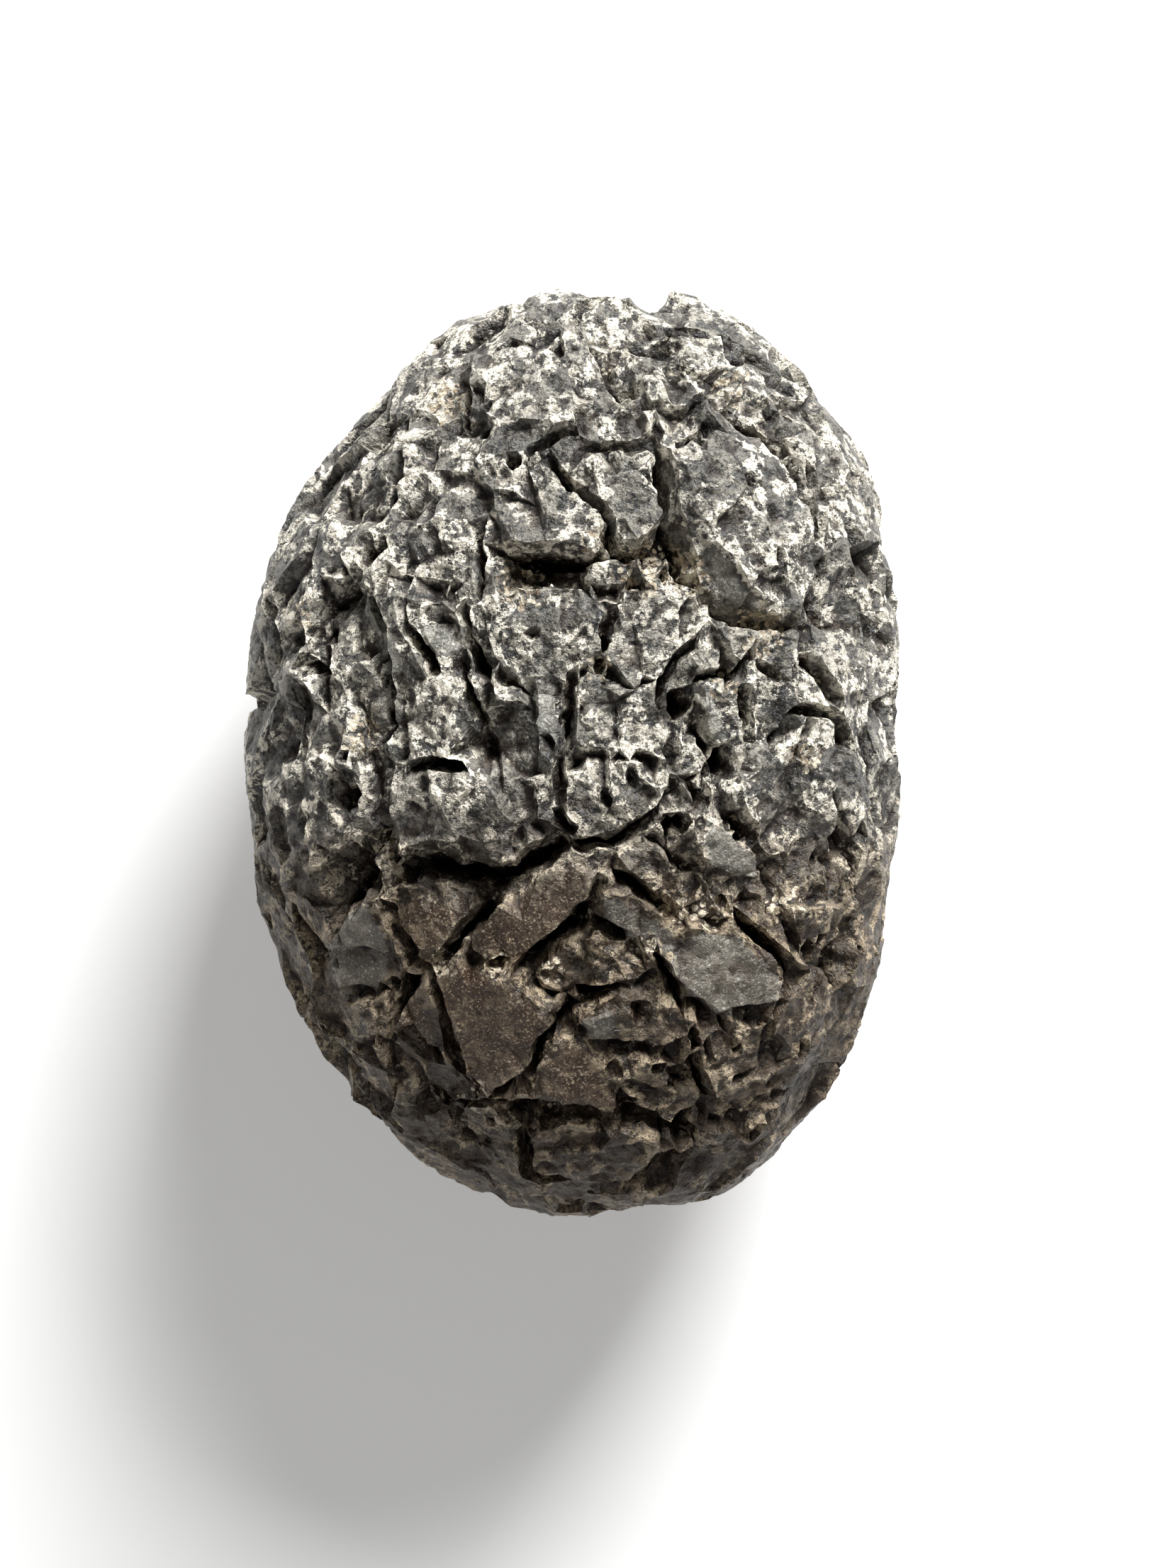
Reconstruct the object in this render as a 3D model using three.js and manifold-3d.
// A worn nodule of obsidian, about the size of a hen's egg, lying on its back.
//
// Volcanic glass breaks into angular blocks with flat or hollow faces. Weathering then opens the
// joints between the blocks, etches pits into them, and rubs their tops down to one rounded skin.
// The solid follows the same order. Every point of its surface lies at some depth straight inside
// the rounded skin: the faces of the blocks set that depth, then fissures and pits deepen it.
// It is all one piece.
//
// Millimetres, +Z up. X runs across the nodule and Y along it. The origin is the middle of the
// nodule in X and Y, on the surface that it rests on.

import * as THREE from "three";
import { ConvexHull } from "three/addons/math/ConvexHull.js";
import Module from "manifold-3d";

const wasm = await Module();
wasm.setup();

// ---- Driving dimensions -------------------------------------------------------------------------

const HALF_WIDTH = 21.7;
const HALF_LENGTH = 31;
const CROWN = 18.3; // from the girdle, the widest section, up to the crown
const KEEL = 18.3; // from the girdle down to the keel, before the rest spot is worn flat
const REST_DEPTH = 17.2; // from the girdle down to the flat spot that the nodule rests on
const SECTION_POWER = 2.35; // 2 gives elliptical cross-sections, more gives fuller ones

// The girdle, seen from above, anticlockwise from the middle of the right side.
const OUTLINE = [
  [21.8, 0], [21.7, 6], [21.3, 11.5], [20.1, 17.6], [17.6, 22.4], [14.5, 25.9], [10.5, 28.9],
  [6.4, 30.6], [2.6, 31.2], [-4.6, 30.0], [-9.3, 27.4], [-12.7, 23.8], [-16.1, 20.2], [-18.8, 16.2],
  [-20.9, 10.6], [-21.8, 4.5], [-21.9, -2.5], [-21.3, -9.1], [-19.7, -14.3], [-17.5, -18.9],
  [-14.8, -23.4], [-11.1, -26.8], [-6, -29.8], [0, -31.2], [8, -30.4], [12.8, -27.8], [16.4, -23.8],
  [19.1, -19.2], [20.9, -13.1], [21.7, -6.5],
];

// Plates: the blocks of the upper side whose tops stand out. How far the top sits under the skin,
// how much it rises towards +X and +Y (as slopes), how far it stands over what lies round it, how
// much of the small blocks' relief shows in it, and its outline. A last number, where there is one,
// is the bearing of its tallest side in degrees from +X; the opposite side is nearly flush.
const PLATES = [
  // the crown end
  [0.1, 0.05, -0.1, 0.9, 0.4, [[-6.6, 25.2], [-3.6, 26.0], [-0.9, 25.1], [0.3, 22.6], [-0.6, 20.9], [-4.2, 20.6], [-6.9, 21.9]], 200],
  [0.5, -0.5, 0.1, 1.3, 0.1, [[-1.0, 26.6], [0.2, 26.9], [2.9, 22.9], [2.2, 21.9], [0.9, 22.9]]],
  [1.0, -0.2, -0.45, 0.7, 0, [[3.9, 26.0], [6.7, 25.6], [5.6, 23.6]]],
  [0.3, 0, 0.3, 1.1, 0.2, [[4.6, 23.6], [7.0, 24.2], [8.4, 23.2], [7.6, 22.0], [5.0, 22.2]]],
  [0.7, 0, 0.2, 0.8, 0.4, [[7.4, 27.0], [9.8, 27.0], [10.6, 25.2], [8.4, 24.6], [7.0, 25.4]]],
  [0.3, 0.1, 0, 0.7, 0.5, [[8.0, 29.2], [10.6, 29.0], [13.6, 26.9], [12.8, 25.9], [9.6, 27.6], [7.6, 27.8]]],
  [0.3, 0, -0.3, 0.8, 0.4, [[10.6, 25.0], [13.0, 25.4], [16.0, 23.6], [15.6, 22.9], [12.9, 22.7], [10.8, 23.5]]],
  [0.4, 0.1, 0.2, 0.8, 0.4, [[0.4, 22.0], [3.6, 22.5], [5.2, 21.4], [4.6, 19.9], [1.0, 19.6], [-0.2, 20.6]], 270],
  [0.9, 0.25, 0.35, 0.7, 0.2, [[5.6, 21.6], [8.8, 21.6], [8.4, 20.3], [6.0, 19.8]]],
  [0.2, -0.1, 0.1, 0.6, 0.5, [[-11.6, 25.4], [-8.6, 26.2], [-8.0, 23.6], [-9.2, 21.8], [-12.4, 22.2]], 330],
  // the upper middle
  [0.1, 0.15, -0.1, 1.6, 0.24, [[-5.0, 17.3], [-1.9, 18.1], [0.2, 16.4], [1.8, 14.9], [1.9, 12.7], [-1.0, 12.5], [-4.0, 13.1], [-5.3, 15.2]], 270],
  [0.3, 0.2, 0.2, 1.4, 0.24, [[1.0, 19.0], [4.8, 19.4], [5.2, 17.0], [5.7, 14.0], [3.0, 12.9], [2.7, 14.3], [1.9, 15.9]], 300],
  [0, 0.12, 0.1, 1.0, 0.3, [[6.9, 19.0], [9.2, 20.0], [13.6, 18.4], [15.0, 15.4], [15.8, 11.2], [14.8, 8.9], [12.6, 9.0], [10.9, 10.7], [9.0, 13.4], [7.4, 16.0]], 225],
  [1.9, 0.55, 0.5, 1.2, 0.1, [[8.9, 13.2], [10.7, 10.5], [12.4, 8.9], [10.4, 8.8], [8.9, 10.4], [8.2, 12.4]]],
  [0.3, 0.1, 0.2, 0.8, 0.4, [[-10.0, 14.2], [-7.0, 14.0], [-6.6, 11.4], [-8.0, 10.4], [-10.6, 11.0]], 290],
  [0.4, 0.1, -0.1, 0.6, 0.5, [[-9.0, 20.6], [-5.0, 20.2], [-4.6, 18.8], [-6.6, 17.4], [-9.2, 18.0]]],
  // a slab and three crumbs in the trench
  [1.5, 0, 0.1, 0.8, 0.1, [[0.9, 11.7], [2.2, 12.0], [3.5, 11.8], [3.5, 10.6], [1.9, 10.4], [0.9, 10.7]]],
  [0.9, -0.2, 0.3, 1.1, 0.1, [[4.2, 11.8], [5.3, 11.9], [5.6, 10.9], [4.6, 10.6]]],
  [1.4, 0.1, 0.2, 0.9, 0.1, [[6.2, 12.0], [7.0, 11.7], [7.1, 10.8], [6.3, 10.7]]],
  // the middle, between the trench and the big ledge
  [0.1, 0, 0.2, 1.5, 0.3, [[-5.9, 10.0], [-2.6, 9.8], [1.4, 10.0], [2.2, 8.8], [1.4, 6.6], [-0.2, 4.6], [-3.4, 4.2], [-5.0, 5.2]], 300],
  [0.2, 0.05, 0.2, 1.3, 0.28, [[3.2, 9.9], [6.8, 10.3], [8.2, 8.8], [7.4, 6.7], [5.6, 4.6], [3.4, 4.3], [2.0, 5.4], [2.9, 7.4]], 250],
  [1.0, -0.35, -0.05, 0.8, 0, [[-2.4, 4.2], [-0.8, 4.3], [-0.7, 0.6], [-2.3, 0.6]]],
  [0.3, 0.3, 0.05, 1.4, 0.3, [[-11.4, 4.6], [-8.4, 4.4], [-6.9, 2.9], [-6.2, 0.6], [-8.0, -0.5], [-10.9, -0.3]], 315],
  [0.7, -0.35, 0.1, 0.9, 0.1, [[-9.8, 8.1], [-7.7, 7.9], [-6.7, 6.3], [-7.4, 5.7], [-8.7, 5.8], [-9.4, 6.8]]],
  [0.6, 0.1, 0.1, 0.9, 0.1, [[-11.9, 7.2], [-11.2, 7.4], [-10.5, 5.9], [-9.8, 4.6], [-11.5, 4.5], [-12.0, 5.8]]],
  [0.2, 0, -0.1, 1.0, 0.4, [[-15.0, 12.6], [-14.0, 13.8], [-12.2, 13.7], [-11.8, 11.8], [-12.6, 10.2], [-14.4, 10.4]], 250],
  [0.4, 0.05, 0.1, 1.0, 0.4, [[0.3, 3.6], [4.9, 3.8], [6.4, 1.5], [6.0, -0.4], [1.0, -0.2], [0.2, 1.2]], 280],
  [0, 0.1, 0.1, 2.0, 0.25, [[-0.3, -2.0], [1.5, -0.8], [5.9, -0.9], [6.3, -2.5], [5.0, -4.1], [3.6, -5.6], [1.0, -6.0], [-0.6, -4.4]]],
  [0.3, 0.1, 0.2, 1.3, 0.2, [[8.5, 8.0], [10.6, 7.9], [13.8, 7.5], [15.0, 6.2], [14.2, 4.7], [12.2, 5.4], [10.4, 5.0], [9.9, 6.6]], 250],
  [0.1, -0.25, 0.2, 1.6, 0.15, [[8.1, 7.6], [9.4, 6.3], [9.6, 5.1], [8.2, 4.7], [6.9, 4.9], [7.6, 6.2]], 250],
  [0.1, 0.1, 0.3, 2.2, 0.12, [[7.9, 3.9], [9.4, 4.2], [10.3, 3.9], [9.8, 3.1], [10.8, 1.9], [11.0, 0.6], [8.9, 0.4], [8.3, 2.2]], 250],
  [0.5, 0.1, 0.3, 1.2, 0.2, [[11.1, 4.2], [13.9, 4.1], [13.8, 2.0], [12.8, 0.5], [11.9, 0.9], [11.4, 2.2]], 260],
  [0.3, 0.05, 0.05, 1.1, 0.3, [[15.4, 1.8], [16.5, 1.8], [17.9, 0.4], [18.6, -2.2], [18.9, -4.6], [17.2, -4.9], [15.3, -3.8], [14.6, -2.3], [15.6, -0.6]], 180],
  [0.4, -0.2, 0.1, 1.3, 0.25, [[11.2, 0.0], [12.7, -0.2], [13.8, -1.4], [14.0, -4.0], [13.1, -5.4], [11.7, -4.5], [10.4, -3.8], [10.1, -2.9], [11.0, -1.6]], 200],
  [0.6, 0, 0.2, 1.2, 0.3, [[6.9, 0.4], [8.2, -0.1], [8.9, -0.9], [8.5, -1.7], [6.8, -2.0], [6.1, -1.3]], 300],
  [0.1, -0.3, -0.1, 1.1, 0.3, [[-18.8, -1.4], [-16.4, -0.6], [-13.9, -2.0], [-13.4, -4.8], [-15.2, -6.4], [-18.6, -6.0]], 0],
  [0, 0.05, 0.1, 2.3, 0.32, [[-12.0, -2.2], [-8.4, -1.8], [-5.6, -2.4], [-3.9, -4.6], [-2.0, -5.9], [-4.2, -7.4], [-7.2, -7.4], [-9.8, -6.9], [-11.9, -4.9]], 265],
  [0.6, 0.05, 0.15, 0.8, 0.3, [[-4.6, -2.0], [-1.4, -2.2], [-1.4, -4.8], [-3.2, -5.0]]],
  [0.6, 0.1, 0.15, 1.5, 0.05, [[8.4, -4.4], [9.5, -4.8], [11.8, -6.9], [11.9, -7.9], [10.7, -8.2], [8.7, -7.3], [8.1, -5.8]], 270],
  [1.4, 0, -0.2, 1.0, 0.3, [[8.5, -8.2], [9.8, -8.7], [13.1, -8.3], [13.2, -9.3], [11.0, -9.9], [9.4, -9.6]]],
  [1.2, -0.2, 0, 0.9, 0.4, [[3.6, -6.8], [5.4, -6.4], [6.4, -7.6], [8.2, -8.4], [8.5, -9.8], [7.4, -10.5], [5.6, -9.4], [3.4, -7.9]]],
  // below the big ledge
  [1.4, -0.3, -0.1, 0.9, 0.2, [[-13.4, -6.4], [-12.2, -6.6], [-10.0, -8.4], [-10.4, -9.2], [-12.8, -9.0]]],
  [0.3, -0.1, 0.15, 1.9, 0.1, [[1.9, -6.5], [1.7, -7.9], [1.1, -9.5], [-1.5, -11.9], [-3.2, -13.5], [-5.6, -13.3], [-7.2, -12.4], [-4.0, -9.4], [-0.2, -6.7]]],
  [1.2, 0.1, -0.25, 1.2, 0.1, [[-12.0, -9.2], [-9.4, -8.7], [-5.9, -8.9], [-6.6, -10.6], [-8.2, -12.3], [-9.6, -13.8], [-10.9, -12.2]]],
  [0.6, -0.05, 0.1, 1.5, 0.3, [[-14.4, -10.3], [-13.0, -9.7], [-12.3, -11.1], [-11.3, -12.5], [-10.9, -14.6], [-12.2, -15.2], [-15.3, -15.5], [-15.9, -13.0]], 300],
  [0.5, 0.1, 0.2, 1.1, 0.15, [[1.9, -9.0], [3.4, -9.4], [7.0, -11.9], [6.6, -12.7], [4.4, -12.1], [1.8, -10.9]]],
  [0.9, 0.1, 0.1, 0.6, 0.5, [[-1.6, -13.8], [0.4, -12.3], [1.8, -11.9], [4.4, -12.8], [5.4, -13.8], [4.4, -14.9], [2.2, -15.0], [0.2, -15.6], [-1.2, -15.9], [-2.4, -14.7]]],
  [0.4, 0.05, -0.05, 1.3, 0.05, [[7.4, -11.4], [10.4, -11.5], [12.0, -13.0], [13.6, -14.8], [12.9, -16.1], [9.2, -16.9], [7.2, -15.4], [6.0, -13.2]]],
  [0.7, 0, 0.15, 0.9, 0.3, [[14.0, -10.2], [17.6, -10.4], [17.8, -12.2], [15.0, -12.4]]],
  [0.2, 0.05, -0.05, 2.1, 0.05, [[-9.0, -14.2], [-7.2, -12.9], [-3.9, -14.6], [-1.4, -16.7], [-0.9, -17.3], [-2.7, -19.8], [-4.4, -21.3], [-5.4, -22.2], [-6.7, -20.8], [-7.3, -19.0], [-8.1, -17.0]]],
  [0.9, 0.1, 0.05, 1.5, 0.08, [[-11.0, -16.2], [-10.1, -15.5], [-9.4, -15.5], [-8.7, -17.4], [-8.4, -19.2], [-9.0, -19.6], [-10.1, -18.6], [-11.0, -17.1]]],
  [0.4, 0.05, 0.1, 1.3, 0.25, [[0.3, -16.9], [2.2, -16.2], [4.6, -15.9], [6.8, -16.4], [7.3, -18.0], [6.0, -19.2], [3.6, -18.9], [1.6, -18.6]], 270],
  [0.4, 0, -0.1, 2.0, 0.12, [[-2.0, -20.0], [-0.4, -18.1], [0.9, -18.8], [2.0, -19.8], [2.3, -21.3], [3.5, -22.3], [2.7, -23.3], [0.2, -22.9], [-1.9, -22.2], [-2.4, -21.0]], 280],
  [0.5, 0, 0, 1.8, 0.5, [[2.6, -19.9], [5.2, -20.0], [7.4, -19.4], [8.6, -21.6], [8.4, -23.6], [6.4, -24.0], [4.2, -23.0], [2.9, -21.2]], 280],
  [0.3, 0.1, 0.1, 1.9, 0.25, [[-2.2, -24.6], [-0.4, -24.2], [1.4, -24.4], [3.9, -24.8], [5.4, -25.3], [5.9, -26.3], [4.4, -27.2], [2.6, -28.3], [0.1, -28.1], [-0.6, -26.9], [-1.9, -26.8], [-2.4, -25.8]], 60],
  [0.5, 0.1, 0.1, 1.4, 0.35, [[-7.5, -23.4], [-5.2, -23.4], [-4.1, -24.3], [-4.2, -26.4], [-5.4, -27.3], [-7.0, -25.8], [-7.8, -24.4]], 90],
  [0.6, 0, 0.15, 1.4, 0.2, [[-9.9, -20.4], [-8.2, -20.2], [-6.8, -21.0], [-6.3, -21.9], [-7.9, -22.6], [-9.6, -22.0]], 270],
  [0.6, 0, 0, 0.8, 0.4, [[-15.8, -16.6], [-12.6, -16.2], [-12.8, -18.6], [-15.0, -19.4]]],
  [0.5, 0.1, 0.1, 1.1, 0.35, [[8.7, -25.0], [10.4, -24.9], [11.2, -25.8], [9.8, -27.2], [8.6, -26.8]], 150],
  [0.6, 0, 0.1, 1.1, 0.3, [[-10.1, -23.9], [-8.3, -23.8], [-8.2, -25.4], [-9.4, -25.6]], 60],
  [0.5, 0.1, 0, 0.9, 0.5, [[8.9, -18.4], [10.4, -18.0], [12.4, -18.6], [12.2, -20.6], [9.6, -21.4], [8.7, -20.2]], 250],
  [0.5, 0.1, 0.1, 1.0, 0.4, [[9.4, -22.2], [12.4, -21.4], [14.0, -22.2], [12.6, -23.8], [9.8, -23.8]], 250],
];

// Floors: the broad gaps between the plates. How far the floor sits under the skin, how much it
// rises towards +X and +Y, and its outline.
const FLOORS = [
  [3.3, 0.05, -0.5, [[-4.6, 13.2], [2.6, 13.2], [5.8, 13.8], [7.8, 11.8], [9.0, 9.6], [6.8, 10.2], [1.4, 9.9], [-2.6, 9.7], [-4.8, 10.2]]],
  [3.2, 0, -0.3, [[-12.6, -6.2], [-9.8, -6.8], [-4.2, -7.2], [-1.8, -5.8], [-0.4, -6.8], [-4.2, -9.4], [-5.6, -10.4], [-9.2, -8.9], [-12.2, -9.2]]],
  [3.0, 0.2, 0, [[-16.4, -7.4], [-13.2, -6.2], [-12.6, -9.0], [-13.8, -10.2], [-16.6, -10.6]]],
  [2.8, 0, -0.2, [[-3.6, -13.6], [-1.5, -11.9], [1.4, -9.9], [2.0, -11.2], [6.6, -12.6], [4.4, -13.0], [1.8, -12.0], [-1.6, -13.8], [-2.6, -14.6]]],
  [3.2, 0, -0.3, [[-2.4, -22.3], [0.2, -23.0], [2.8, -23.4], [4.2, -23.1], [6.4, -24.1], [7.0, -25.2], [5.2, -25.2], [1.4, -24.3], [-0.4, -24.1], [-2.4, -24.4]]],
  [2.8, 0, -0.2, [[-8.6, -13.0], [-7.2, -12.6], [-5.4, -10.6], [-5.9, -9.0], [-6.6, -10.6], [-8.2, -12.3], [-9.6, -13.8]]],
];

// Fissures: width at the mouth, depth under the skin, then x and y along the run.
const FISSURES = [
  [0.7, 3.0, [[-7.0, 25.1], [-7.2, 23.6], [-7.5, 21.4]]],
  [0.9, 3.8, [[-1.1, 17.9], [-0.2, 16.8], [1.3, 15.6], [2.3, 14.3], [2.3, 12.9]]],
  [1.2, 4.6, [[5.9, 19.0], [6.0, 17.2], [6.4, 15.0], [7.3, 13.2], [7.8, 11.2], [9.0, 9.8]]],
  [0.7, 4.0, [[2.4, 12.5], [4.2, 12.7], [5.9, 12.9]]],
  [1.1, 4.6, [[9.2, 9.4], [10.2, 8.3], [11.9, 7.9], [14.3, 7.8]]],
  [0.8, 4.2, [[-4.8, 12.7], [-3.0, 12.6], [-0.8, 12.2], [1.4, 12.2]]],
  [0.8, 2.8, [[-6.2, 13.8], [-6.2, 11.4], [-6.2, 9.4]]],
  [0.8, 3.0, [[-10.7, 7.7], [-9.6, 5.8], [-8.8, 4.8]]],
  [0.8, 2.8, [[-7.0, 4.4], [-6.2, 2.2], [-5.3, -0.4]]],
  [0.8, 2.8, [[-0.2, 4.0], [-0.2, 1.6], [-0.9, -0.8], [-1.0, -3.4]]],
  [0.8, 2.6, [[2.5, 8.4], [1.9, 6.6], [0.6, 5.0]]],
  [0.8, 3.2, [[7.6, 6.4], [6.6, 5.4], [5.7, 4.0], [5.6, 2.8]]],
  [0.8, 3.2, [[11.5, 5.7], [10.6, 4.6], [9.4, 4.5], [8.2, 4.3]]],
  [0.8, 3.2, [[14.1, 2.4], [15.6, 2.3], [17.1, 2.0], [18.3, 0.5]]],
  [0.7, 2.6, [[15.4, 6.2], [16.3, 4.6], [17.3, 3.1]]],
  [0.7, 3.0, [[11.0, 3.9], [11.1, 2.2], [11.5, 0.4]]],
  [1.0, 3.4, [[-12.1, 5.2], [-12.3, 3.4], [-12.4, 1.4]]],
  [0.7, 3.0, [[-6.9, 8.6], [-6.4, 6.4], [-5.6, 4.2]]],
  [0.8, 2.4, [[15.8, 18.0], [16.4, 15.4], [16.9, 12.6]]],
  [0.8, 2.4, [[14.6, 18.9], [15.5, 16.4], [16.1, 13.8]]],
  [1.0, 2.8, [[8.6, 22.6], [9.9, 22.6], [11.4, 21.6], [13.6, 20.4], [14.4, 19.2]]],
  [0.7, 2.0, [[13.6, 22.0], [15.4, 21.6], [16.8, 20.0]]],
  [0.9, 3.0, [[-0.4, 20.2], [-1.8, 19.4], [-3.4, 18.3]]],
  [0.8, 3.2, [[-10.9, -1.3], [-9.2, -1.0], [-7.0, -1.2]]],
  [1.4, 4.6, [[-12.9, -5.6], [-14.2, -7.4], [-15.0, -9.4], [-16.2, -11.8]]],
  [1.3, 4.6, [[-12.2, -6.4], [-10.6, -8.0], [-8.4, -8.3], [-5.0, -8.5], [-2.6, -7.6], [-0.8, -6.5]]],
  [1.0, 3.6, [[0.0, -6.2], [2.6, -6.2], [4.2, -5.2], [5.6, -4.0]]],
  [0.8, 3.6, [[2.6, -7.8], [4.1, -9.0], [5.2, -9.9], [6.9, -11.1]]],
  [1.2, 4.2, [[1.4, -9.9], [0.2, -11.4], [-2.4, -13.2], [-3.6, -14.0]]],
  [1.0, 4.0, [[-5.4, -10.4], [-6.9, -11.6], [-8.0, -12.8], [-9.2, -14.2]]],
  [0.6, 3.0, [[-12.5, -9.6], [-11.9, -11.6], [-10.9, -13.8]]],
  [0.9, 4.4, [[-9.8, -14.6], [-8.8, -15.9], [-8.2, -17.6], [-7.8, -19.4], [-7.2, -20.9]]],
  [0.9, 4.0, [[-10.6, -15.0], [-11.5, -16.4], [-11.8, -17.6], [-12.2, -18.8]]],
  [0.8, 4.2, [[2.9, -15.5], [1.6, -15.7], [0.4, -16.1], [-0.1, -17.1], [-1.2, -17.8], [-2.2, -19.2], [-2.7, -20.5], [-3.7, -21.5]]],
  [0.8, 3.0, [[7.0, -16.0], [6.2, -14.4], [5.4, -13.2]]],
  [0.9, 3.2, [[10.8, -10.8], [12.2, -12.3], [14.0, -14.0]]],
  [0.9, 4.4, [[-2.0, -22.8], [0.2, -23.4], [2.6, -23.8], [4.4, -23.7], [6.4, -24.6]]],
  [0.7, 3.2, [[-9.0, -23.1], [-7.6, -23.1], [-5.4, -22.8], [-4.4, -22.7]]],
  [1.0, 3.6, [[-3.2, -24.2], [-3.2, -26.0], [-2.9, -27.6], [-1.2, -28.2]]],
  [0.8, 2.8, [[6.4, -26.8], [5.0, -27.9], [3.2, -28.9]]],
  [0.7, 2.8, [[7.9, -19.0], [8.2, -20.8], [8.9, -22.6], [9.0, -24.0]]],
  [0.7, 2.0, [[17.4, -4.0], [18.6, -6.8], [18.4, -9.4]]],
  [0.7, 2.0, [[-12.4, 15.2], [-11.2, 18.8], [-11.6, 21.4]]],
  [0.8, 2.4, [[-13.2, 9.8], [-12.4, 7.4], [-12.6, 4.4]]],
];

// Hollows: x and y, length, breadth, depth, and the bearing of the length in degrees from +X.
const HOLLOWS = [
  [6.4, 26.9, 1.6, 1.0, 2.4, 20], [2.2, 27.4, 1.4, 0.8, 1.8, 0], [-3.9, 18.3, 1.2, 1.1, 2.8, 20],
  [-11.6, 17.6, 1.4, 1.3, 2.2, 0], [-14.7, 15.5, 1.5, 0.9, 2.0, -20], [-13.9, 17.2, 1.0, 1.0, 1.6, 0],
  [-13.3, 12.2, 1.7, 1.5, 2.2, 0], [-2.7, 11.3, 2.8, 1.3, 4.4, -12], [9.7, 22.7, 1.8, 0.8, 2.6, -10],
  [14.6, 22.4, 2.4, 0.8, 1.8, -15], [-16.5, 7.6, 1.9, 1.4, 3.2, -50], [-17.0, 5.2, 2.8, 2.0, 2.2, 0],
 [-14.4, -0.7, 1.1, 1.0, 2.4, 0], [-12.5, -1.0, 1.1, 0.9, 2.6, 0],
  [1.6, 5.2, 1.2, 1.4, 2.2, 0], [6.9, 2.8, 1.9, 2.2, 4.0, -20], [8.3, -3.3, 1.6, 1.3, 3.2, 60],
  [9.9, -0.9, 1.8, 2.4, 3.6, 0], [11.1, -5.2, 3.2, 1.5, 4.0, -40], [6.6, -4.9, 2.0, 1.6, 3.0, 30],
  [3.7, -2.0, 0.8, 2.0, 1.4, 0], [2.2, -3.2, 0.7, 1.6, 1.2, 0],
  [14.7, 0.3, 1.0, 2.4, 2.8, 0], [-14.9, -3.3, 2.2, 2.0, 2.8, 0], [9.8, -10.2, 1.4, 1.2, 3.2, 0], [9.0, -9.0, 1.4, 0.9, 2.2, 0],
  [15.8, -13.6, 2.6, 1.2, 2.8, 10], [18.8, -13.4, 0.9, 1.1, 1.4, 0], [4.4, -16.8, 1.2, 2.4, 3.2, 10],
  [7.7, -18.3, 0.9, 2.2, 2.6, 20], [9.8, -17.7, 0.9, 1.6, 1.8, 20], [10.8, -19.4, 0.8, 1.3, 1.6, 0],
  [12.6, -17.8, 0.7, 1.5, 1.3, 20], [14.8, -19.5, 1.2, 2.0, 2.2, 10], [5.6, -20.6, 1.0, 1.2, 1.8, 0],
  [7.2, -21.4, 1.5, 2.0, 2.4, 0], [8.8, -23.4, 0.8, 1.4, 1.6, -20], [7.4, -25.5, 2.0, 2.2, 4.6, 0],
  [9.6, -24.6, 1.0, 1.4, 2.0, 30], [11.8, -24.9, 0.9, 1.8, 1.8, 0], [-3.3, -23.3, 1.9, 2.4, 4.2, 0],
  [-9.9, -22.9, 1.5, 1.3, 3.6, 0], [-5.5, -24.4, 0.9, 0.8, 1.8, 0], [-7.5, -26.2, 1.3, 1.0, 2.0, 0],
  [-11.2, -8.2, 1.8, 1.7, 3.8, 0], [-14.9, -8.3, 2.0, 3.4, 4.0, -10], [-16.6, -14.2, 1.2, 1.8, 2.0, 0],
  [-14.4, -20.4, 2.0, 1.0, 1.8, 0], [-4.6, -29.2, 1.4, 1.0, 1.4, 0], [1.4, -29.2, 1.0, 0.9, 1.2, 0],
  [5.0, -29.6, 1.8, 1.0, 1.4, 0], [-3.6, -5.9, 1.6, 1.0, 1.8, -10], [17.2, 13.2, 1.0, 1.6, 1.8, 0],
  [11.6, 16.9, 0.9, 1.5, 1.2, 20], [13.2, 12.0, 1.0, 1.3, 1.1, 0], [16.4, -7.4, 1.0, 1.6, 1.6, 0],
  [12.2, -9.0, 1.0, 1.4, 1.8, 20], [17.2, -17.2, 0.9, 1.5, 1.4, 0], [13.0, -21.6, 0.9, 1.6, 1.5, 10],
  [0.6, 2.4, 0.6, 1.2, 1.2, 0], [-2.6, 7.0, 1.2, 0.8, 1.1, 20],
];

// Between the plates, and on the sides and the back, the blocks are smaller and broken at random.
const BLOCK_CLEARANCE_ABOVE = 3.3; // least distance between the middles of two of them
const BLOCK_CLEARANCE_BELOW = 5.4;
const BLOCK_SINK = 1.7; // how far under the skin the deepest of their faces lie
const BLOCK_SLOPE = 0.42; // how steeply the most tilted of them rise
const WORN_RIM = 0.25; // the most that the upper edge of a ledge between two of them is worn down
const OPENED_JOINT = 0.6; // the most that the joint at its foot is opened
const SMOOTH_PLATE = 0.22; // plates with less relief than this show no borders of small blocks
const GIRDLE_BAND = 12; // the sides within this height of the girdle are rubbed smoother
const END_BREAKAGE = 0.5; // but both ends are broken more freely
const KEEL_BAND = 4; // and so is the keel, within this height of its lowest point
const BACK_FISSURES = 32;
const BACK_FISSURE_LINKS = 3; // straight lengths in each fissure
const BACK_HOLLOWS = 32;
const RANDOM_SEED = 20;

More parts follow.
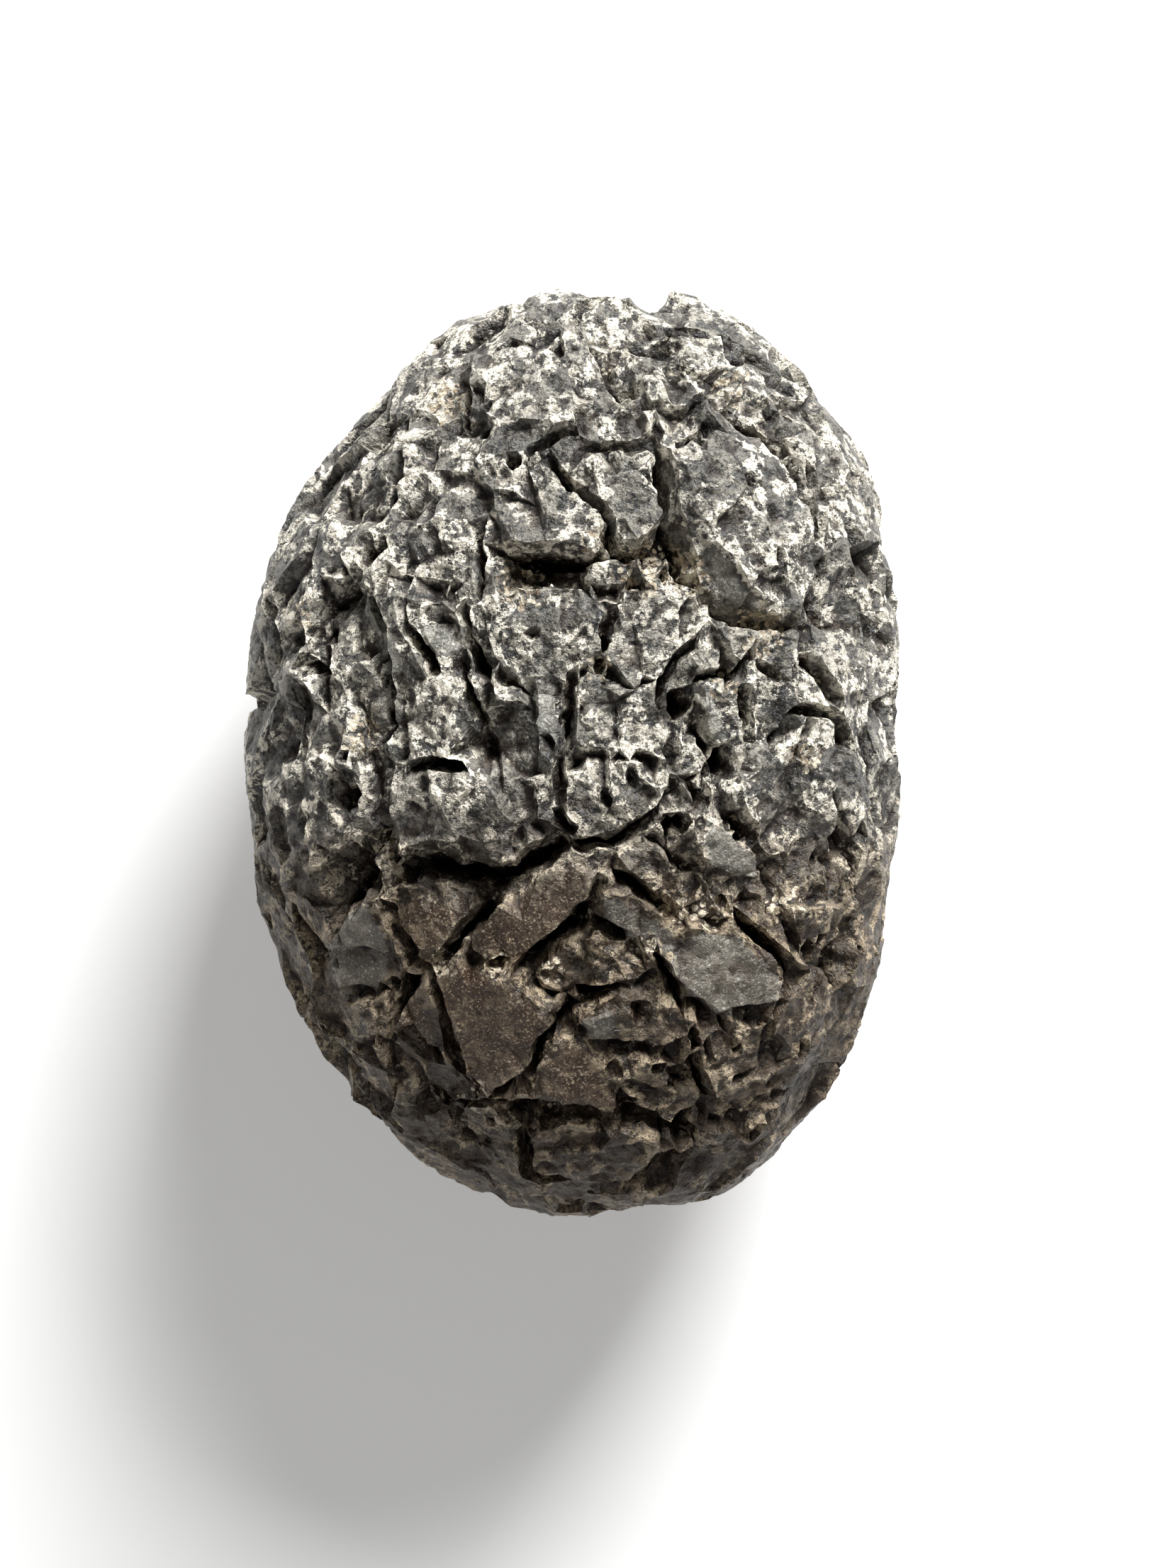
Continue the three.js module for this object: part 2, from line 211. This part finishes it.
// How finely the surface is drawn.
const ROW_STEP = 0.95; // between the corners along an edge or a fissure
const LEDGE_RUN = 0.42; // from the rim of a plate out to the foot of its ledge
const LIP_RUN = 0.25; // from the lip of a fissure out to the ground that it is level with
const CORNER_CLEARANCE = 0.36; // between the corners of different edges and fissures
const HOLLOW_CLEARANCE = 0.3; // between the corners of a hollow and any others
const BOTTOM_CLEARANCE = 0.28; // between the bottom of a fissure and any others
const BORDER_PROBES = 40000; // points tried in the search for the borders of the small blocks
const BORDER_REACH = 0.4; // how far off such a border a probe still finds it
const BORDER_GAP = 0.4; // between the two corners that stand either side of a border
const BORDER_STEP_ABOVE = 1.5; // between two such pairs along the border, on the upper side
const BORDER_STEP_BELOW = 3.3;
const SPACING_ABOVE = 1.7; // between all other corners, on the upper side
const SPACING_BELOW = 3.4;
const PIT_STEEPNESS = 1.9; // the most that the depth of a hollow is, for its breadth
const ROUGHNESS = 0.3; // the most that a corner stands away from its block's face

// ---- Skin ---------------------------------------------------------------------------------------

const HALF_SIZES = new THREE.Vector3(HALF_WIDTH, HALF_LENGTH, CROWN);
const random = repeatableRandom(RANDOM_SEED);
const girdle = girdleRadii();

/** A repeatable source of numbers from 0 to 1. */
function repeatableRandom(seed) {
  let state = seed;
  return () => {
    state = (state * 1664525 + 1013904223) % 4294967296;
    return state / 4294967296;
  };
}

function between(low, high) {
  return low + (high - low) * random();
}

/** The radius of the girdle at each whole degree round the nodule. */
function girdleRadii() {
  const corners = OUTLINE.map(([x, y]) => new THREE.Vector3(x, y, 0));
  const points = new THREE.CatmullRomCurve3(corners, true, "centripetal").getSpacedPoints(2880);
  const radii = [];
  for (const point of points) {
    const degree = Math.round(THREE.MathUtils.radToDeg(Math.atan2(point.y, point.x)) + 360) % 360;
    radii[degree] = point.length();
  }
  return radii;
}

function girdleRadius(x, y) {
  const degrees = (THREE.MathUtils.radToDeg(Math.atan2(y, x)) + 360) % 360;
  const low = Math.floor(degrees);
  return THREE.MathUtils.lerp(girdle[low % 360], girdle[(low + 1) % 360], degrees - low);
}

/** 1 on the skin, less inside it and more outside, in proportion to the distance from the centre. */
function skinShare({ x, y, z }) {
  const flat = Math.hypot(x, y) / girdleRadius(x, y);
  const tall = Math.abs(z) / (z > 0 ? CROWN : KEEL);
  return (flat ** SECTION_POWER + tall ** SECTION_POWER) ** (1 / SECTION_POWER);
}

/** The point of the skin in the same direction from the centre. */
function ontoSkin(point) {
  return point.clone().divideScalar(skinShare(point));
}

/** The point of the upper skin straight above x, y. */
function upperSkin(x, y) {
  const flat = Math.min(0.995, Math.hypot(x, y) / girdleRadius(x, y));
  return new THREE.Vector3(x, y, CROWN * (1 - flat ** SECTION_POWER) ** (1 / SECTION_POWER));
}

/** The way out of the nodule at a point of the skin. */
function outward(point) {
  return point.clone().divide(HALF_SIZES).divide(HALF_SIZES).normalize();
}

/** Two directions along the skin: across the nodule and along it. */
function tangents(point) {
  const out = outward(point);
  const along = new THREE.Vector3(0, 1, 0).addScaledVector(out, -out.y);
  if (along.length() < 0.2) along.set(0, 0, 1).addScaledVector(out, -out.z);
  along.normalize();
  return [new THREE.Vector3().crossVectors(along, out), along];
}

function randomSkinPoint() {
  const direction = new THREE.Vector3();
  do {
    direction.set(between(-1, 1), between(-1, 1), between(-1, 1));
  } while (direction.length() > 1 || direction.length() < 0.1);
  return ontoSkin(direction.normalize().multiply(HALF_SIZES));
}

// ---- Faces of the blocks ------------------------------------------------------------------------

/** The flat top of a block: a plane through a point, tilted from the skin by two slopes. */
function blockFace(middle, sink, riseX, riseY) {
  const out = outward(middle);
  const [across, along] = tangents(middle);
  const normal = out.clone().addScaledVector(across, -riseX).addScaledVector(along, -riseY).normalize();
  return { middle, normal, point: middle.clone().addScaledVector(out, -sink) };
}

/** How far under a point of the skin a face lies. It never stands over the skin, which is worn. */
function faceDepth(face, skinPoint) {
  const over = skinPoint.clone().sub(face.point).dot(face.normal);
  return Math.max(0, over / outward(skinPoint).dot(face.normal));
}

function plateOf([sink, riseX, riseY, lip, relief, corners, tallSide]) {
  const outline = corners.map(([x, y]) => new THREE.Vector2(x, y));
  const middle = new THREE.Vector2();
  for (const corner of outline) middle.addScaledVector(corner, 1 / outline.length);
  const face = blockFace(upperSkin(middle.x, middle.y), sink, riseX, riseY);
  return { face, lip, relief, outline, middle, tallSide };
}

/** How far a plate stands over what lies beside it, at a point of its rim. */
function ledgeHeight({ lip, middle, tallSide }, rim) {
  if (tallSide === undefined) return lip;
  const bearing = Math.atan2(rim.y - middle.y, rim.x - middle.x);
  return lip * (0.55 + 0.45 * Math.cos(bearing - THREE.MathUtils.degToRad(tallSide)));
}

/** Whether a point of the skin is inside the outline of a plate or a floor. */
function isInside({ outline }, skinPoint) {
  if (skinPoint.z < 0) return false;
  let inside = false;
  outline.forEach((a, i) => {
    const b = outline[(i + 1) % outline.length];
    const crosses = a.y > skinPoint.y !== b.y > skinPoint.y;
    if (crosses && skinPoint.x < a.x + ((skinPoint.y - a.y) / (b.y - a.y)) * (b.x - a.x)) inside = !inside;
  });
  return inside;
}

/** How freely the glass is broken at a point of the skin: 1 in most places, less where it is rubbed. */
function breakage({ y, z }) {
  const atEnd = END_BREAKAGE * Math.abs(y / HALF_LENGTH) ** 3;
  return Math.min(1, 0.3 + Math.abs(z) / GIRDLE_BAND + atEnd, 0.15 + (z + KEEL) / KEEL_BAND);
}

/** Small blocks all over the nodule, no two of them too near each other. */
function smallBlocks() {
  const faces = [];
  for (let i = 0; i < 3000; i++) {
    const middle = randomSkinPoint();
    const clearance = middle.z > 4 ? BLOCK_CLEARANCE_ABOVE : BLOCK_CLEARANCE_BELOW;
    if (faces.some((face) => face.middle.distanceTo(middle) < clearance)) continue;
    const freely = breakage(middle);
    const slopes = [0, 1].map(() => between(-BLOCK_SLOPE, BLOCK_SLOPE) * freely);
    faces.push(blockFace(middle, between(0.1, BLOCK_SINK) * freely, ...slopes));
  }
  return faces;
}

/** The small blocks whose middles are nearest and second nearest to a point. */
function nearestBlocks(point) {
  let [nearest, second] = [blocks[0], blocks[0]];
  let [least, next] = [Infinity, Infinity];
  for (const block of blocks) {
    const distance = block.middle.distanceToSquared(point);
    if (distance < least) {
      [nearest, second, least, next] = [block, nearest, distance, least];
    } else if (distance < next) {
      [second, next] = [block, distance];
    }
  }
  return [nearest, second];
}

// ---- Corners of the surface ---------------------------------------------------------------------

const plates = PLATES.map(plateOf);
const floors = FLOORS.map(([sink, riseX, riseY, outline]) => plateOf([sink, riseX, riseY, 0, 0, outline]));
const blocks = smallBlocks();
const corners = []; // each a point of the skin and how deep under it the surface lies
const edges = []; // each the round area between two joined corners, which no other may enter

/** The direction of a point from the centre, as if the nodule were a ball. */
function directionOf(point) {
  return point.clone().divide(HALF_SIZES).normalize();
}

function isCrowded(point, clearance) {
  const direction = directionOf(point);
  return (
    edges.some((edge) => edge.middle.distanceToSquared(direction) < edge.reachSquared) ||
    corners.some((corner) => corner.point.distanceToSquared(point) < clearance ** 2)
  );
}

/** Adds a corner of the surface and returns it, unless another one is too near. */
function addCorner(point, depth, clearance = CORNER_CLEARANCE) {
  if (isCrowded(point, clearance)) return null;
  const corner = { point, direction: directionOf(point), depth: Math.max(0, depth) };
  corners.push(corner);
  return corner;
}

/** Keeps each corner of a run joined to the next by an edge: no later corner comes between them. */
function joinCorners(run) {
  for (let i = 1; i < run.length; i++) {
    const [a, b] = [run[i - 1], run[i]];
    if (!a || !b) continue;
    const middle = a.direction.clone().lerp(b.direction, 0.5);
    edges.push({ middle, reachSquared: middle.distanceToSquared(a.direction) });
  }
}

function plateDepth(plate, point, block = nearestBlocks(point)[0]) {
  return faceDepth(plate.face, point) + plate.relief * faceDepth(block, point);
}

function groundDepth(point, block = nearestBlocks(point)[0]) {
  const plate = plates.find((candidate) => isInside(candidate, point));
  if (plate) return plateDepth(plate, point, block);
  const floor = floors.find((candidate) => isInside(candidate, point));
  return floor ? faceDepth(floor.face, point) : faceDepth(block, point);
}

/** Points at even steps along a run of points. */
function alongRun(run, closed) {
  const points = [];
  const links = closed ? run.length : run.length - 1;
  for (let i = 0; i < links; i++) {
    const a = run[i];
    const b = run[(i + 1) % run.length];
    const steps = Math.max(1, Math.round(a.distanceTo(b) / ROW_STEP));
    for (let step = 0; step < steps; step++) points.push(a.clone().lerp(b, step / steps));
  }
  if (!closed) points.push(run[run.length - 1]);
  return points;
}

/** A V-shaped cut with rough sides, shallower at both ends. */
function cutFissure(width, depth, run) {
  const points = alongRun(run, false);
  const stations = points.map((point, i) => {
    const end = i === 0 || i === points.length - 1;
    const ahead = points[Math.min(points.length - 1, i + 1)].clone().sub(points[Math.max(0, i - 1)]);
    const side = new THREE.Vector3().crossVectors(ahead, outward(point)).normalize();
    const half = (width / 2) * (end ? 0.6 : 1) * between(0.85, 1.25);
    return { point, end, side, half, wander: between(-0.15, 0.15) };
  });
  const bottoms = stations.map(({ point, end, side, wander }) => {
    const bottom = ontoSkin(point.clone().addScaledVector(side, wander));
    const ground = groundDepth(bottom);
    const cut = end ? (ground + depth) / 2 : depth * between(0.85, 1.1);
    return addCorner(bottom, Math.max(ground + 0.3, cut), BOTTOM_CLEARANCE);
  });
  joinCorners(bottoms);
  for (const way of [-1, 1]) {
    const lips = stations.map(({ point, side, half, wander }) => {
      const out = wander + way * Math.max(CORNER_CLEARANCE, half);
      const [lip, beyond] = [out, out + way * LIP_RUN].map((offset) => {
        return ontoSkin(point.clone().addScaledVector(side, offset));
      });
      return addCorner(lip, groundDepth(beyond) + between(-0.05, 0.2), BOTTOM_CLEARANCE);
    });
    joinCorners(lips);
  }
}

/** A ring of corners round the middle of a hollow, at a share of its size. */
function ringHollow(middle, share, count, hollow, depthAt) {
  const { length, breadth, bearing } = hollow;
  const [across, along] = tangents(middle);
  for (let i = 0; i < count; i++) {
    const angle = (i / count) * Math.PI * 2 + between(-0.3, 0.3);
    const long = (length / 2) * share * Math.cos(angle) * between(0.85, 1.2);
    const wide = (breadth / 2) * share * Math.sin(angle) * between(0.85, 1.2);
    const right = long * Math.cos(bearing) - wide * Math.sin(bearing);
    const up = long * Math.sin(bearing) + wide * Math.cos(bearing);
    const point = ontoSkin(middle.clone().addScaledVector(across, right).addScaledVector(along, up));
    addCorner(point, depthAt(point), HOLLOW_CLEARANCE);
  }
}

/** A scoop with a rough rim: a bowl if it is broad, otherwise a pit with one deepest point. */
function scoopHollow(middle, hollow) {
  const narrowest = Math.min(hollow.length, hollow.breadth);
  const depth = Math.min(hollow.depth, PIT_STEEPNESS * narrowest);
  const deepest = Math.max(depth, groundDepth(middle) + 0.4);
  const broad = narrowest > 1.25;
  addCorner(middle, deepest, HOLLOW_CLEARANCE);
  if (broad) ringHollow(middle, 0.6, 5, hollow, () => deepest * between(0.7, 1));
  ringHollow(middle, 1, broad ? 8 : 6, hollow, (point) => groundDepth(point) + between(-0.1, 0.15));
}

/** The rim of a plate, and the foot of the ledge outside it. */
function edgePlate(plate) {
  const points = alongRun(plate.outline.map(({ x, y }) => upperSkin(x, y)), true);
  const stations = points.map((point, i) => {
    const behind = points[(i + points.length - 1) % points.length];
    const ahead = points[(i + 1) % points.length].clone().sub(behind);
    const side = new THREE.Vector3().crossVectors(ahead, outward(point)).normalize();
    if (isInside(plate, point.clone().addScaledVector(side, 0.2))) side.negate();
    const rim = ontoSkin(point.clone().addScaledVector(side, between(-0.25, 0.12)));
    return { rim, side };
  });
  const rims = stations.map(({ rim }) => addCorner(rim, plateDepth(plate, rim) + between(-0.05, 0.2)));
  joinCorners([...rims, rims[0]]);
  for (const { rim, side } of stations) {
    const foot = ontoSkin(rim.clone().addScaledVector(side, LEDGE_RUN));
    if (plates.some((other) => other !== plate && isInside(other, foot))) continue;
    const ledge = plateDepth(plate, foot) + ledgeHeight(plate, rim) * between(0.75, 1.15);
    const onFloor = floors.some((floor) => isInside(floor, foot));
    addCorner(foot, onFloor ? Math.max(ledge, groundDepth(foot)) : ledge);
  }
}

/** Points found along each border between two small blocks, with the two blocks. */
function blockBorders() {
  const borders = new Map();
  for (let i = 0; i < BORDER_PROBES; i++) {
    const point = randomSkinPoint();
    const [near, far] = nearestBlocks(point);
    const way = far.middle.clone().sub(near.middle).normalize();
    const gap = near.middle.clone().lerp(far.middle, 0.5).sub(point).dot(way);
    if (gap > BORDER_REACH) continue;
    const pair = [near, far].sort((a, b) => blocks.indexOf(a) - blocks.indexOf(b));
    const key = pair.map((block) => blocks.indexOf(block)).join();
    if (!borders.has(key)) borders.set(key, { pair, points: [] });
    borders.get(key).points.push(ontoSkin(point.addScaledVector(way, gap)));
  }
  return [...borders.values()];
}

/** Corners at even steps along a border, one on either side of it, so that it stands as a ledge. */
function edgeBlocks({ pair, points }) {
  const way = pair[1].middle.clone().sub(pair[0].middle).normalize();
  const run = new THREE.Vector3().crossVectors(outward(points[0]), way).normalize();
  points.sort((a, b) => a.dot(run) - b.dot(run));
  const [start, end] = [points[0], points[points.length - 1]];
  const step = start.z > 2 ? BORDER_STEP_ABOVE : BORDER_STEP_BELOW;
  const count = Math.max(1, Math.round(start.distanceTo(end) / step));
  for (let i = 0; i < count; i++) {
    const middle = start.clone().lerp(end, (i + 0.5) / count);
    const plate = plates.find((candidate) => isInside(candidate, middle));
    const smooth = plate ? plate.relief < SMOOTH_PLATE : floors.some((floor) => isInside(floor, middle));
    if (smooth) continue;
    const wander = between(-0.14, 0.14);
    const sides = pair.map((block, side) => {
      const offset = wander + (side - 0.5) * BORDER_GAP;
      const point = ontoSkin(middle.clone().addScaledVector(way, offset));
      return { point, depth: groundDepth(point, block) };
    });
    if (sides.some(({ point }) => isCrowded(point, CORNER_CLEARANCE))) continue;
    sides.sort((a, b) => a.depth - b.depth);
    const freely = breakage(middle);
    addCorner(sides[0].point, sides[0].depth + between(0, WORN_RIM) * freely, 0);
    addCorner(sides[1].point, sides[1].depth + between(0, OPENED_JOINT) * freely, 0);
  }
}

/** A run of points that wanders over the skin from a start. */
function wanderingRun(start) {
  const run = [start];
  const [across, along] = tangents(start);
  let bearing = between(0, Math.PI * 2);
  for (let i = 0; i < BACK_FISSURE_LINKS; i++) {
    bearing += between(-0.7, 0.7);
    const next = run[i].clone().addScaledVector(across, Math.cos(bearing) * between(1.4, 2.8));
    run.push(ontoSkin(next.addScaledVector(along, Math.sin(bearing) * between(1.4, 2.8))));
  }
  return run;
}

/** A point of the sides or the back, away from the flat spot. */
function randomBackPoint() {
  for (;;) {
    const point = randomSkinPoint();
    if (point.z < 6 && point.z > KEEL_BAND - KEEL) return point;
  }
}

function placeCorners() {
  for (const [x, y, length, breadth, depth, degrees] of HOLLOWS) {
    const bearing = THREE.MathUtils.degToRad(degrees);
    scoopHollow(upperSkin(x, y), { length, breadth, depth, bearing });
  }
  for (const [width, depth, run] of FISSURES) {
    cutFissure(width, depth, run.map(([x, y]) => upperSkin(x, y)));
  }
  plates.forEach(edgePlate);
  for (let i = 0; i < BACK_FISSURES; i++) {
    cutFissure(between(0.8, 1.3), between(1.8, 3.4), wanderingRun(randomBackPoint()));
  }
  for (let i = 0; i < BACK_HOLLOWS; i++) {
    const length = between(1.1, 2.2);
    const breadth = length * between(0.6, 1);
    const depth = length * between(0.8, 1.2);
    scoopHollow(randomBackPoint(), { length, breadth, depth, bearing: between(0, 3) });
  }
  blockBorders().forEach(edgeBlocks);
  for (let i = 0; i < 40000; i++) {
    const point = randomSkinPoint();
    const inside = plates.some((plate) => isInside(plate, point));
    const rough = ROUGHNESS * (inside ? 0.4 : breakage(point));
    const depth = groundDepth(point) + between(-0.7, 1) * rough;
    addCorner(point, depth, point.z > 2 ? SPACING_ABOVE : SPACING_BELOW);
  }
}

// ---- The nodule ---------------------------------------------------------------------------------

/** The corners joined by triangles. Seen from the centre they cover the nodule once. */
function noduleGeometry() {
  const directions = corners.map(({ direction }) => direction);
  const order = new Map(directions.map((direction, i) => [direction, i]));
  const triangles = [];
  for (const face of new ConvexHull().setFromPoints(directions).faces) {
    const { edge } = face;
    triangles.push(...[edge.prev, edge, edge.next].map(({ vertex }) => order.get(vertex.point)));
  }
  const positions = corners.flatMap(({ point, depth }) => {
    return point.clone().addScaledVector(outward(point), -depth).toArray();
  });
  const geometry = new THREE.BufferGeometry();
  geometry.setAttribute("position", new THREE.Float32BufferAttribute(positions, 3));
  geometry.setIndex(triangles);
  return geometry;
}

/** The geometry with its keel worn flat, as a closed geometry again. */
function rested(geometry) {
  const mesh = new wasm.Mesh({
    numProp: 3,
    vertProperties: geometry.attributes.position.array,
    triVerts: new Uint32Array(geometry.index.array),
  });
  const cut = new wasm.Manifold(mesh).trimByPlane([0, 0, 1], -REST_DEPTH).getMesh();
  const closed = new THREE.BufferGeometry();
  closed.setAttribute("position", new THREE.BufferAttribute(cut.vertProperties, 3));
  closed.setIndex(new THREE.BufferAttribute(cut.triVerts, 1));
  return closed;
}

function obsidianMesh() {
  placeCorners();
  const geometry = rested(noduleGeometry());
  geometry.computeBoundingBox();
  const { min, max } = geometry.boundingBox;
  geometry.translate(-(min.x + max.x) / 2, -(min.y + max.y) / 2, -min.z);
  geometry.computeVertexNormals();
  const glass = new THREE.MeshStandardMaterial({
    name: "weathered_obsidian",
    color: 0x4a4a4b,
    roughness: 0.55,
    metalness: 0,
    flatShading: true,
  });
  const mesh = new THREE.Mesh(geometry, glass);
  mesh.name = "obsidian";
  return mesh;
}

const nodule = new THREE.Group();
nodule.name = "obsidian_nodule";
nodule.add(obsidianMesh());

export default nodule;
